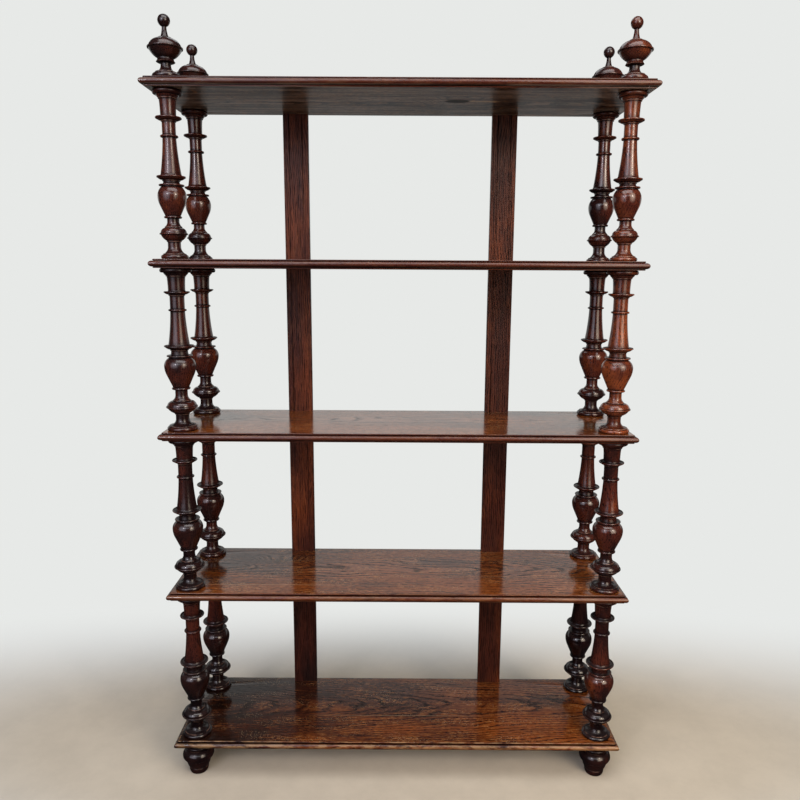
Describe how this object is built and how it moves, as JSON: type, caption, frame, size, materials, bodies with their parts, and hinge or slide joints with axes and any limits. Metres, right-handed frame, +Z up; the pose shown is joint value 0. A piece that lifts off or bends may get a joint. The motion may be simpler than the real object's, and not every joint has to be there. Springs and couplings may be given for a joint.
{
  "type": "bookcase",
  "caption": "Open etagere bookcase: moulded oak shelves on posts of stacked turned spindles, with ball finials, bun feet and upright back battens.",
  "frame": {"origin": "on the floor, midway between the ends and between the front noses and the back edges", "axes": "+X along the shelves to the right seen from the front, +Y from the front to the back, +Z up"},
  "size_m": [1.1, 0.296, 1.7884],
  "materials": {
    "shelf_oak": "dark red-brown stained oak, waxed to a soft gloss, worn lighter on the moulded edges",
    "turned_oak": "dark red-brown stained oak, turned and polished, nearly black in the hollows",
    "batten_oak": "dark red-brown stained oak, plainly planed, with upright grain",
    "screw_steel": "dull slotted steel"
  },
  "bodies": {
    "root": {"foot_front_left": "turned_oak", "spindle_front_left_tier_1": "turned_oak", "spindle_front_left_tier_2": "turned_oak", "spindle_front_left_tier_3": "turned_oak", "spindle_front_left_tier_4": "turned_oak", "finial_front_left": "turned_oak", "foot_front_right": "turned_oak", "spindle_front_right_tier_1": "turned_oak", "spindle_front_right_tier_2": "turned_oak", "spindle_front_right_tier_3": "turned_oak", "spindle_front_right_tier_4": "turned_oak", "finial_front_right": "turned_oak", "foot_back_left": "turned_oak", "spindle_back_left_tier_1": "turned_oak", "spindle_back_left_tier_2": "turned_oak", "spindle_back_left_tier_3": "turned_oak", "spindle_back_left_tier_4": "turned_oak", "finial_back_left": "turned_oak", "foot_back_right": "turned_oak", "spindle_back_right_tier_1": "turned_oak", "spindle_back_right_tier_2": "turned_oak", "spindle_back_right_tier_3": "turned_oak", "spindle_back_right_tier_4": "turned_oak", "finial_back_right": "turned_oak", "bottom_shelf": "shelf_oak", "lower_shelf": "shelf_oak", "middle_shelf": "shelf_oak", "upper_shelf": "shelf_oak", "top_shelf": "shelf_oak", "left_back_batten": "batten_oak", "right_back_batten": "batten_oak", "batten_screws": "screw_steel"}
  },
  "joints": []
}
